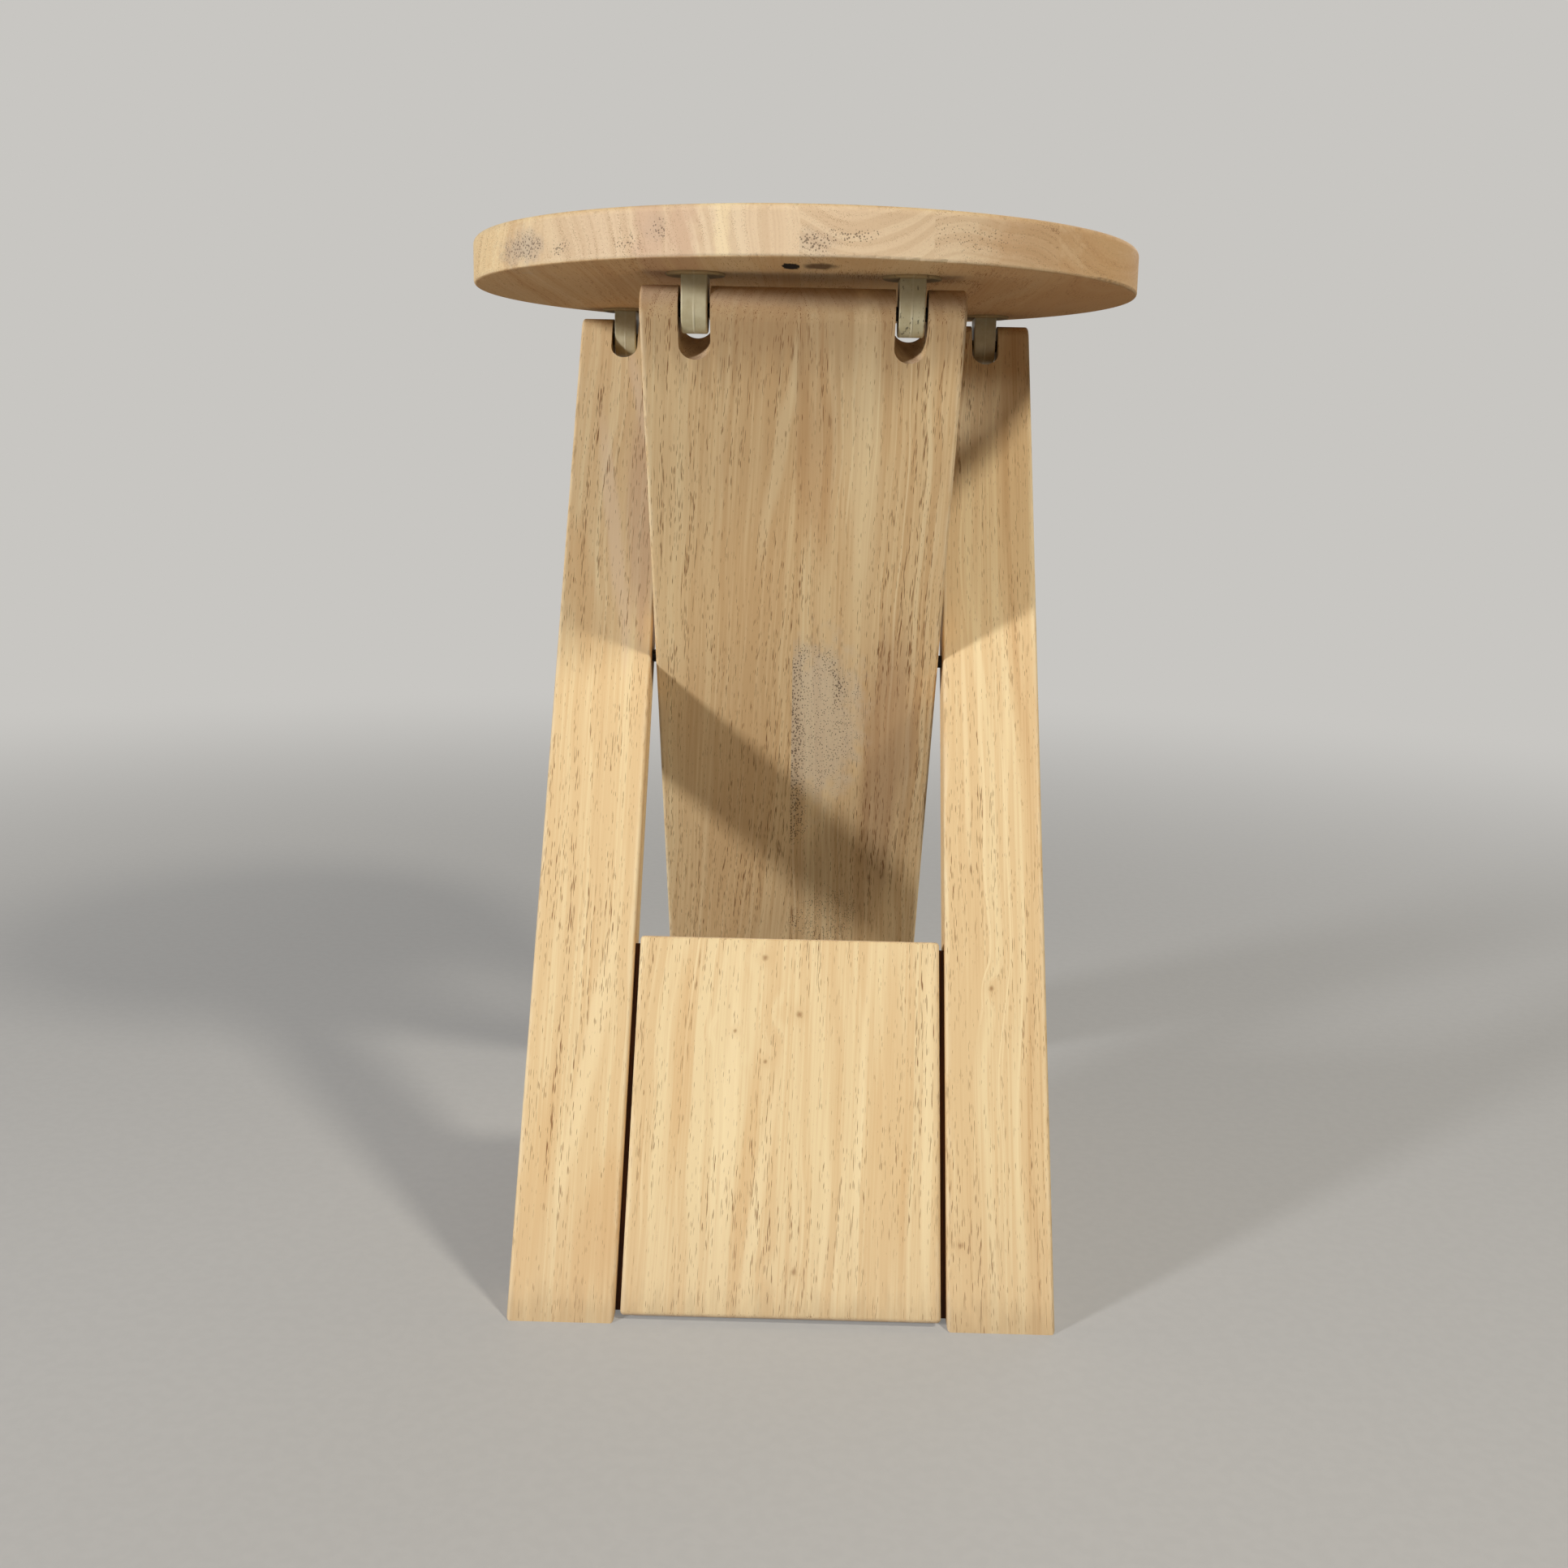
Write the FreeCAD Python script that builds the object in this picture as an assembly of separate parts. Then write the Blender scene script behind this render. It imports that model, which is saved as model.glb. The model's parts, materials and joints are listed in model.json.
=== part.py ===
import FreeCAD, Part
import math
import os

# Folding stool: a round seat on two crossing legs that fold flat against its underside.
# Millimetres, +Z up, origin on the floor under the middle of the seat, front towards -Y.

# Seat
seat_diameter = 306.0
seat_thickness = 20.0
seat_height = 456.0  # floor to the seat's top, standing open
seat_top_round = 3.0
seat_bottom_round = 1.5
seat_stave_count = 6
seat_stave_width = 52.0  # all but the two outermost, which reach the rim
seat_joint_shift = -1.5  # middle of the pattern of glue lines, along X

# Leg boards
board_thickness = 20.0
edge_round = 1.5
frame_width = 232.0
stile_width = 45.5
frame_angle = 60.0  # degrees between the open frame and the seat
tongue_gap = 2.5  # each side, between tongue and stile
tongue_joint_shift = -2.0  # glue line in the tongue, along X

# Lower panel of the frame and its splines
panel_gap = 2.5  # each side, between panel and stile
panel_foot_gap = 2.0
panel_round = 1.8
nest_gap = 11.0  # folded, between the tongue's foot and the panel's top
spline_thickness = 8.0
spline_depth = 8.0  # into the stile, and into the panel
spline_top_inset = 2.5  # below the panel's top
spline_clearance = 0.1

# Hinges between the legs and the seat
hinge_spacing = 180.0
crown_clearance = 3.8  # a leg's round top to the bracket's flange
hinge_pin_diameter = 6.0
hinge_pin_hold = 10.0  # length held in the wood past the slot
hinge_pin_recess = 1.0  # pin's end below the board's edge
tongue_slot_inset = 22.75  # board's edge to the slot's middle
slot_side_clearance = 1.25  # each side of the bracket
slot_floor_clearance = 8.0  # below the bracket's eye
bracket_blade_width = 11.0
bracket_knuckle_radius = 9.5
bracket_edge_round = 0.8
bracket_flange_diameter = 25.0
bracket_flange_thickness = 1.2
bracket_plug_diameter = 14.0
bracket_plug_length = 14.0

# Guide pins in the stiles, and the tongue's grooves they slide in
guide_pin_diameter = 6.0
guide_pin_hold = 18.0  # length held in the stile
guide_pin_reach = 7.5  # length inside the groove
groove_clearance = 0.3  # round the pin, across the groove and at its ends
groove_floor_gap = 1.0  # pin's end to the groove's floor

# Fits
press_clearance = 0.03  # radial, glued or pressed pieces
running_clearance = 0.06  # radial, hinge pins in the brackets
pin_chamfer = 0.6

# Places worked out from the sizes above
seat_radius = seat_diameter / 2
seat_underside = seat_height - seat_thickness
half_thickness = board_thickness / 2
hinge_drop = half_thickness + crown_clearance + bracket_flange_thickness
hinge_height = seat_underside - hinge_drop
slot_width = bracket_blade_width + 2 * slot_side_clearance
slot_floor = bracket_knuckle_radius + slot_floor_clearance  # pin axis to the slot's bottom
opening_width = frame_width - 2 * stile_width
tongue_width = opening_width - 2 * tongue_gap
panel_width = opening_width - 2 * panel_gap
front_hinge_y = -hinge_spacing / 2
rear_hinge_y = hinge_spacing / 2

# The guide pins lie as far from the frame's hinge as the two hinges lie apart.
# With that equal-sided triangle the tongue turns exactly half as far as the frame.
guide_distance = hinge_spacing
tongue_angle = 90.0 - frame_angle / 2
frame_turn = math.radians(frame_angle - 90.0)
tongue_turn = math.radians(90.0 - tongue_angle)
groove_open_end = 2 * hinge_spacing * math.cos(math.radians(tongue_angle))
groove_folded_end = 2 * hinge_spacing

stile_slot_x = (opening_width + stile_width) / 2
tongue_slot_x = tongue_width / 2 - tongue_slot_inset
overcut = 1.0  # how far a cutting shape runs past the face it opens
tolerance = 1e-5


def vector(x, y, z):
    return FreeCAD.Vector(x, y, z)


def rod(x_start, x_end, radius, y=0.0, z=0.0):
    """Round bar along X."""
    return Part.makeCylinder(radius, x_end - x_start, vector(x_start, y, z), vector(1, 0, 0))


def block(x_range, y_range, z_range):
    low = vector(x_range[0], y_range[0], z_range[0])
    return Part.makeBox(
        x_range[1] - x_range[0], y_range[1] - y_range[0], z_range[1] - z_range[0], low
    )


def pin(x_start, x_end, diameter, z):
    """Chamfered steel pin along X."""
    bar = rod(x_start, x_end, diameter / 2, z=z)
    rims = [edge for edge in bar.Edges if isinstance(edge.Curve, Part.Circle)]
    return bar.makeChamfer(pin_chamfer, rims)


def circles_at(shape, height):
    """Round edges of a turned piece that lie level at a height."""
    return [
        edge
        for edge in shape.Edges
        if isinstance(edge.Curve, Part.Circle)
        and max(abs(edge.BoundBox.ZMin - height), abs(edge.BoundBox.ZMax - height)) < tolerance
    ]


def mirrored(shape):
    """The same piece on the other side of the stool."""
    return shape.mirror(vector(0, 0, 0), vector(1, 0, 0))


def stand(shape, hinge_y, turn):
    """Turns a leg piece, drawn hanging from its pin axis, into its open place."""
    placed = shape.copy()
    placed.rotate(vector(0, 0, 0), vector(1, 0, 0), math.degrees(turn))
    placed.translate(vector(0, hinge_y, hinge_height))
    return placed


def cut_height(y, turn, floor_gap=0.0):
    """Hanging height of a level cut through a leg, at depth y in the board."""
    drop = hinge_height - floor_gap + y * math.sin(turn)
    return -drop / math.cos(turn)


def leg_board(x_start, x_end, turn, rounded_sides):
    """Hanging board with a round top about the pin axis and a foot cut level with the floor."""
    front = -half_thickness
    back = half_thickness
    foot_front = vector(x_start, front, cut_height(front, turn))
    foot_back = vector(x_start, back, cut_height(back, turn))
    shoulder_front = vector(x_start, front, 0)
    shoulder_back = vector(x_start, back, 0)
    crown = vector(x_start, 0, half_thickness)
    outline = Part.Wire(
        [
            Part.LineSegment(foot_back, shoulder_back).toShape(),
            Part.Arc(shoulder_back, crown, shoulder_front).toShape(),
            Part.LineSegment(shoulder_front, foot_front).toShape(),
            Part.LineSegment(foot_front, foot_back).toShape(),
        ]
    )
    board = Part.Face(outline).extrude(vector(x_end - x_start, 0, 0))
    rounded = []
    for edge in board.Edges:
        on_side = any(
            all(abs(vertex.X - side) < tolerance for vertex in edge.Vertexes)
            for side in rounded_sides
        )
        if on_side:
            rounded.append(edge)
    return board.makeFillet(edge_round, rounded)


def hinge_slot(x_middle):
    """Round-bottomed slot through a leg's top, round its bracket."""
    half_slot = slot_width / 2
    straight = slot_floor - half_slot
    depth = (-half_thickness - overcut, half_thickness + overcut)
    sides = block(
        (x_middle - half_slot, x_middle + half_slot), depth, (-straight, half_thickness + overcut)
    )
    bottom = Part.makeCylinder(
        half_slot, depth[1] - depth[0], vector(x_middle, depth[0], -straight), vector(0, 1, 0)
    )
    return sides.fuse(bottom)


def hinge_pin_span(slot_x, edge_x, recess):
    """Ends of a hinge pin driven in from the board's edge at edge_x and held past its slot."""
    inward = math.copysign(1.0, slot_x - edge_x)
    driven_end = edge_x + inward * recess
    held_end = slot_x + inward * (slot_width / 2 + hinge_pin_hold)
    return sorted((driven_end, held_end))


def hinge_pin(slot_x, edge_x):
    low, high = hinge_pin_span(slot_x, edge_x, hinge_pin_recess)
    return pin(low, high, hinge_pin_diameter, 0.0)


def hinge_pin_hole(slot_x, edge_x):
    low, high = hinge_pin_span(slot_x, edge_x, -overcut)
    return rod(low, high, hinge_pin_diameter / 2 + press_clearance)


# Heights along the hanging frame
tongue_reach = -cut_height(half_thickness, tongue_turn)
panel_top = -(tongue_reach - hinge_spacing + nest_gap)
spline_top = panel_top - spline_top_inset
frame_lowest = min(cut_height(y, frame_turn) for y in (-half_thickness, half_thickness))


def spline_groove(x_start, x_end):
    """Groove for a spline, open at the foot."""
    half = spline_thickness / 2 + spline_clearance
    return block(
        (x_start, x_end),
        (-half, half),
        (frame_lowest - overcut, spline_top + spline_clearance),
    )


def panel_block(x_start, x_end, half, top):
    """Hanging block as deep as half each way, its foot cut level just above the floor."""
    corners = [
        vector(x_start, -half, top),
        vector(x_start, -half, cut_height(-half, frame_turn, panel_foot_gap)),
        vector(x_start, half, cut_height(half, frame_turn, panel_foot_gap)),
        vector(x_start, half, top),
    ]
    side = Part.Face(Part.makePolygon(corners + corners[:1]))
    return side.extrude(vector(x_end - x_start, 0, 0))


def right_stile():
    inner = opening_width / 2
    outer = frame_width / 2
    board = leg_board(inner, outer, frame_turn, (inner, outer))
    guide_hole = rod(
        inner - overcut,
        inner + guide_pin_hold,
        guide_pin_diameter / 2 + press_clearance,
        z=-guide_distance,
    )
    groove = spline_groove(inner - overcut, inner + spline_depth + spline_clearance)
    board = board.cut(hinge_slot(stile_slot_x))
    board = board.cut(hinge_pin_hole(stile_slot_x, inner))
    return board.cut(guide_hole).cut(groove)


def lower_panel():
    """Board between the stiles' feet, all its edges rounded."""
    half = panel_width / 2
    board = panel_block(-half, half, half_thickness, panel_top)
    board = board.makeFillet(panel_round, board.Edges)
    inset = spline_depth + spline_clearance
    right_groove = spline_groove(half - inset, half + overcut)
    return board.cut(right_groove).cut(mirrored(right_groove))


def right_spline():
    """Loose strip that joins the panel's edge to the stile, down to the panel's foot."""
    inner = panel_width / 2 - spline_depth
    outer = opening_width / 2 + spline_depth
    return panel_block(inner, outer, spline_thickness / 2, spline_top)


def right_guide_pin():
    tip = tongue_width / 2 - guide_pin_reach
    return pin(tip, opening_width / 2 + guide_pin_hold, guide_pin_diameter, -guide_distance)


def right_guide_groove():
    """Groove in the tongue's edge: its upper end stops the pin when the stool stands open."""
    half = guide_pin_diameter / 2 + groove_clearance
    floor = tongue_width / 2 - guide_pin_reach - groove_floor_gap
    mouth = tongue_width / 2 + overcut
    run = block((floor, mouth), (-half, half), (-groove_folded_end, -groove_open_end))
    for end in (groove_open_end, groove_folded_end):
        run = run.fuse(rod(floor, mouth, half, z=-end))
    return run


def tongue_staves():
    """The centre leg's two staves, glued side by side."""
    half = tongue_width / 2
    staves = {}
    spans = {
        "tongue_left_stave": (-half, tongue_joint_shift, (-half,)),
        "tongue_right_stave": (tongue_joint_shift, half, (half,)),
    }
    right_cuts = [
        hinge_slot(tongue_slot_x),
        hinge_pin_hole(tongue_slot_x, half),
        right_guide_groove(),
    ]
    for name, (x_start, x_end, rounded_sides) in spans.items():
        stave = leg_board(x_start, x_end, tongue_turn, rounded_sides)
        for cutter in right_cuts:
            stave = stave.cut(cutter).cut(mirrored(cutter))
        staves[name] = stave
    return staves


def hinge_bracket(x_middle, hinge_y):
    """Moulded eye on a round flange, with a plug that fills a blind hole in the seat."""
    half_width = bracket_blade_width / 2
    flange_bottom = seat_underside - bracket_flange_thickness
    left = x_middle - half_width
    front = hinge_y - bracket_knuckle_radius
    back = hinge_y + bracket_knuckle_radius
    outline = Part.Wire(
        [
            Part.LineSegment(
                vector(left, front, flange_bottom), vector(left, front, hinge_height)
            ).toShape(),
            Part.Arc(
                vector(left, front, hinge_height),
                vector(left, hinge_y, hinge_height - bracket_knuckle_radius),
                vector(left, back, hinge_height),
            ).toShape(),
            Part.LineSegment(
                vector(left, back, hinge_height), vector(left, back, flange_bottom)
            ).toShape(),
            Part.LineSegment(
                vector(left, back, flange_bottom), vector(left, front, flange_bottom)
            ).toShape(),
        ]
    )
    blade = Part.Face(outline).extrude(vector(bracket_blade_width, 0, 0))
    rim = [
        edge
        for edge in blade.Edges
        if any(vertex.Z < flange_bottom - tolerance for vertex in edge.Vertexes)
        and edge.BoundBox.XLength < tolerance
    ]
    blade = blade.makeFillet(bracket_edge_round, rim)
    up = vector(0, 0, 1)
    flange = Part.makeCylinder(
        bracket_flange_diameter / 2,
        bracket_flange_thickness,
        vector(x_middle, hinge_y, flange_bottom),
        up,
    )
    flange = flange.makeFillet(bracket_edge_round, circles_at(flange, flange_bottom))
    plug = Part.makeCylinder(
        bracket_plug_diameter / 2,
        bracket_plug_length,
        vector(x_middle, hinge_y, seat_underside),
        up,
    )
    eye = rod(
        left - overcut,
        x_middle + half_width + overcut,
        hinge_pin_diameter / 2 + running_clearance,
        hinge_y,
        hinge_height,
    )
    return blade.fuse(flange).fuse(plug).removeSplitter().cut(eye)


bracket_places = {
    "front_left_hinge_bracket": (-tongue_slot_x, front_hinge_y),
    "front_right_hinge_bracket": (tongue_slot_x, front_hinge_y),
    "rear_left_hinge_bracket": (-stile_slot_x, rear_hinge_y),
    "rear_right_hinge_bracket": (stile_slot_x, rear_hinge_y),
}


def seat_disc():
    disc = Part.makeCylinder(seat_radius, seat_thickness, vector(0, 0, seat_underside))
    for height, rounding in ((seat_height, seat_top_round), (seat_underside, seat_bottom_round)):
        disc = disc.makeFillet(rounding, circles_at(disc, height))
    for x_middle, hinge_y in bracket_places.values():
        hole = Part.makeCylinder(
            bracket_plug_diameter / 2 + press_clearance,
            bracket_plug_length + overcut + press_clearance,
            vector(x_middle, hinge_y, seat_underside - overcut),
        )
        disc = disc.cut(hole)
    return disc


def seat_staves():
    """The seat's staves run front to back, glued edge to edge."""
    disc = seat_disc()
    joint_count = seat_stave_count - 1
    first_joint = seat_joint_shift - seat_stave_width * (joint_count - 1) / 2
    joints = [first_joint + seat_stave_width * index for index in range(joint_count)]
    sides = [-seat_radius] + joints + [seat_radius]
    staves = {}
    for number, (x_start, x_end) in enumerate(zip(sides, sides[1:]), start=1):
        strip = block(
            (x_start, x_end),
            (-seat_diameter, seat_diameter),
            (seat_underside - overcut, seat_height + overcut),
        )
        staves[f"seat_stave_{number}"] = disc.common(strip)
    return staves


def pair(name, right_shape, hinge_y, turn):
    """Left and right copies of a leg piece, named by side, standing open."""
    shapes = {"left": mirrored(right_shape), "right": right_shape}
    return {f"{side}_{name}": stand(shape, hinge_y, turn) for side, shape in shapes.items()}


def build():
    nodes = dict(seat_staves())
    for name, (x_middle, hinge_y) in bracket_places.items():
        nodes[name] = hinge_bracket(x_middle, hinge_y)
    frame = (rear_hinge_y, frame_turn)
    tongue = (front_hinge_y, tongue_turn)
    nodes.update(pair("stile", right_stile(), *frame))
    nodes["lower_panel"] = stand(lower_panel(), *frame)
    nodes.update(pair("panel_spline", right_spline(), *frame))
    nodes.update(pair("rear_hinge_pin", hinge_pin(stile_slot_x, opening_width / 2), *frame))
    nodes.update(pair("guide_pin", right_guide_pin(), *frame))
    for name, stave in tongue_staves().items():
        nodes[name] = stand(stave, *tongue)
    nodes.update(pair("front_hinge_pin", hinge_pin(tongue_slot_x, tongue_width / 2), *tongue))
    return nodes


os.makedirs("parts", exist_ok=True)
for node_name, shape in build().items():
    shape.exportStep(f"parts/{node_name}.step")
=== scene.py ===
import json
import math

import bpy
from mathutils import Matrix, Vector


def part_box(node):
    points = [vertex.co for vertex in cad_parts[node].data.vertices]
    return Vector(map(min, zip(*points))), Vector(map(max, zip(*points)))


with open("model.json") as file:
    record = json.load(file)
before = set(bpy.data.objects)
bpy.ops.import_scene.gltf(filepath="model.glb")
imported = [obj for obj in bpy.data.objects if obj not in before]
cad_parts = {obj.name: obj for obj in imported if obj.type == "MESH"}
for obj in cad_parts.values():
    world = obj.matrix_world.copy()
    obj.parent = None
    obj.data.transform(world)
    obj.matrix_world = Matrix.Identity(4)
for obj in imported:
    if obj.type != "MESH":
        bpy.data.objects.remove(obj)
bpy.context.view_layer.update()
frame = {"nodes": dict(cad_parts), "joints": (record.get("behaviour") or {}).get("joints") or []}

nodes = frame["nodes"]
joints = {joint["name"]: joint for joint in frame["joints"]}

MM = 0.001  # metres in a millimetre

# Photograph and camera, fitted to the seat's rim, the board edges and the feet
PHOTO_SIZE = 1932  # pixels, square
FOCAL_LENGTH = 2084.2  # pixels of the photograph
CAMERA_PLACE = (0.0053, -0.8237, 0.3584)
CAMERA_PITCH_DOWN = 10.71  # degrees
CAMERA_HEADING = 0.721  # degrees, anticlockwise from +Y
CAMERA_ROLL = 1.173  # degrees
SENSOR_WIDTH = 36.0

# Studio, in metres. A light has a place, a size, its watts and a colour
LIGHTS = {
    "left_light": ((-1.69, -1.41, 0.78), 0.28, 34.0, (1.0, 0.99, 0.98)),
    "right_light": ((1.12, -1.16, 1.66), 0.31, 25.0, (1.0, 0.93, 0.80)),
    "back_light": ((0.9, 1.8, 1.3), 1.4, 7.0, (1.0, 1.0, 1.0)),
}
LIGHT_TARGET = (0.0, 0.0, 0.25)
AMBIENT_COLOUR = (1.0, 0.86, 0.66, 1.0)
AMBIENT_STRENGTH = 0.035
FLOOR_REACH = 30.0
FLOOR_FADE = (0.45, 1.9)  # where the floor turns into backdrop
FLOOR_NEAR_GLOW = 0.30  # the backdrop's share beside the stool
FLOOR_SPECK_CYCLES = (180.0, 180.0)  # per metre

# Growth bands in the wood, in mm
BROAD_RING = 34.0
NARROW_RING = 9.0
END_ARC_PITCH = 5.0
PORE_ROW_PITCH = 2.2
PALE_LINE_PITCH = 2.8
PALE_LINE_SHIFT = 71.0  # sets the pale lines apart from the other bands
RING_WANDER = 26.0  # how far the rings bend
PORE_SWAY = 1.2
KNOT_BEND_REACH = (5.0, 9.0)  # across and along, in sizes of the knot
KNOT_BEND = 2.6  # how far a knot pushes the rings aside, in sizes of the knot

# Shares of the bands and the fibre in the wood's tone, and the tones of its three colours
BROAD_SHARE = 0.55
NARROW_SHARE = 0.45
FIBRE_SHARE = 0.50
TAN_TONE = 0.32
MIDDLE_TONE = 0.50
CREAM_TONE = 0.68

# Noise and scattered cells, in cycles per mm across and along the grain
WANDER_CYCLES = (0.013, 0.0055)
FIBRE_CYCLES = (0.9, 0.008)
SHEEN_CYCLES = (0.05, 0.02)
PALE_FADE_CYCLES = (0.030, 0.006)
PORE_CROWD_CYCLES = (0.040, 0.012)
PORE_SWAY_CYCLES = (0.15, 0.035)
SHORT_PORE_CYCLES = (1.9, 0.12)
LONG_PORE_CYCLES = (2.4, 0.060)
KNOT_CYCLES = (0.5, 0.35)
SHADE_CYCLES = (0.20, 0.012)
WEAR_CYCLES = (0.22, 0.05)
STAIN_CYCLES = (0.16, 0.10)
STAIN_DOT_CYCLES = (1.10, 0.70)
POCKET_SHADE_CYCLES = (0.45, 0.16)
RECESS_SHADE_CYCLES = (0.16, 0.07)
FLECK_CYCLES = (0.20, 0.20)
FLECK_DOT_CYCLES = (0.95, 0.95)
SPLINE_CYCLES = (1.2, 0.03)
NYLON_CLOUD_CYCLES = (0.10, 0.10)
NYLON_GRAIN_CYCLES = (1.5, 1.5)
NYLON_SCUFF_CYCLES = (0.55, 0.3, 0.18)  # along X, Y and Z
PIN_WEAR_CYCLES = (0.25, 1.4, 1.4)  # along X, Y and Z

# Surfaces
WOOD_ROUGHNESS = (0.54, 0.68)
END_GRAIN_MATT = 0.1  # added roughness
UNDERSIDE_MATT = 0.35  # added roughness
FIBRE_RELIEF = 0.30  # against a pore's depth
SPLINE_ROUGHNESS = (0.6, 0.75)
NYLON_ROUGHNESS = (0.36, 0.50)
FLANGE_MATT = 0.45  # added roughness
PIN_ROUGHNESS = (0.32, 0.50)
FLOOR_ROUGHNESS = 0.75
FLOOR_SPECULAR = 0.15

# Heights on a bracket, in mm below the seat
# Painted shade: the heights over which a bracket and its flange are painted darker under the seat
BRACKET_SHADE_SPAN = (16.0, 1.0)
FLANGE_SPAN = (1.8, 1.3)
PARTING_SPAN = (20.0, 8.0)

# Painted shade of a pocket and a recess in the seat's underside, in mm: a middle (across, along)
# and a reach each way
POCKET_SHADE_SPOT = ((-5.0, -122.0), (4.4, 12.0))
RECESS_SHADE_SPOT = ((7.5, -123.0), (8.5, 13.0))
RIM_FRONT = (-60.0, -80.0)  # along the grain, where the flecks of the front rim set in

# Colours, as sRGB out of 255
CREAM_BAND = (239, 217, 173)
MIDDLE_BAND = (229, 200, 154)
TAN_BAND = (215, 180, 133)
STREAK_CREAM = (247, 227, 184)
STREAK_TAN = (219, 180, 129)
# Brown streaks in the wood; on the seat's right staves the same colour is painted shade
BROWN_STREAK_AND_SHADE = (190, 142, 94)
STREAK_PINK = (204, 168, 142)
STREAK_PINK_PALE = (238, 214, 184)
STREAK_PINK_DARK = (172, 134, 102)
HEAD_SHADE_BROWN = (158, 126, 92)
STAIN_DARK = (82, 60, 46)
FLECK_GREY = (178, 162, 148)
# Dark of the pocket's painted shade in the seat, and of the real scuffs on the brackets
POCKET_SHADE_AND_SCUFF_DARK = (20, 12, 8)
# Worn pale corners, partly a painted highlight along the edges
WORN_PALE_AND_HIGHLIGHT = (243, 226, 192)
GRIME = (116, 92, 68)
# Painted shade: the splines are seen only deep in the shadow gaps
SPLINE_SHADE_BROWN = (96, 60, 40)
SPLINE_SHADE_DARK = (58, 35, 24)
NYLON_OLIVE = (206, 198, 166)
NYLON_SHADE = (188, 177, 142)
PIN_STEEL = (34, 31, 30)
PIN_WEAR = (92, 86, 80)
FLOOR_PALE = (194, 194, 194)
FLOOR_SPECK = (191, 191, 191)
BACKDROP = (200, 198, 194)

# Tints: a colour and how strongly it takes, 0 to 1
END_GRAIN = ((224, 201, 175), 0.68)
END_ARC = ((192, 157, 120), 0.25)
PORE = ((122, 76, 34), 0.92)
KNOT_HALO = (TAN_BAND, 0.30)
KNOT = ((150, 108, 66), 0.75)
STAIN_VEIL = ((220, 204, 180), 0.62)
STAIN_DOT = (STAIN_DARK, 0.80)
STAIN_HAZE = (STAIN_DARK, 0.14)
FLECK_DOT = (STAIN_DARK, 0.70)
RUBBED_SEAT_AND_HIGHLIGHT = (WORN_PALE_AND_HIGHLIGHT, 0.14)
RUBBED_LEG_AND_HIGHLIGHT = (WORN_PALE_AND_HIGHLIGHT, 0.40)
CORNER_DIRT = (GRIME, 0.40)
FOOT_DIRT = (GRIME, 0.25)
# Dirt and painted shade: the legs turn greyer and darker towards the floor
FOOT_DIRT_AND_SHADE = ((208, 182, 150), 0.25)
# Painted shade on the seat's underside, which faces the floor
UNDERSIDE_SHADE = ((172, 124, 78), 0.52)
POCKET_SHADE = (POCKET_SHADE_AND_SCUFF_DARK, 1.0)
# Painted shade of a shallow recess in the seat's underside
RECESS_SHADE = ((78, 54, 34), 0.85)
# Painted shade on the brackets and their flanges, under the seat
BRACKET_SEAT_SHADE = ((122, 108, 76), 0.55)
FLANGE_SHADE = ((160, 134, 92), 0.85)
PARTING_LINE = ((226, 220, 194), 0.5)
SCUFF = (POCKET_SHADE_AND_SCUFF_DARK, 0.7)


def linear(colour):
    """Linear RGBA of an sRGB colour out of 255."""
    channels = []
    for value in colour:
        share = value / 255
        channels.append(share / 12.92 if share <= 0.04045 else ((share + 0.055) / 1.055) ** 2.4)
    return (*channels, 1.0)


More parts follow.
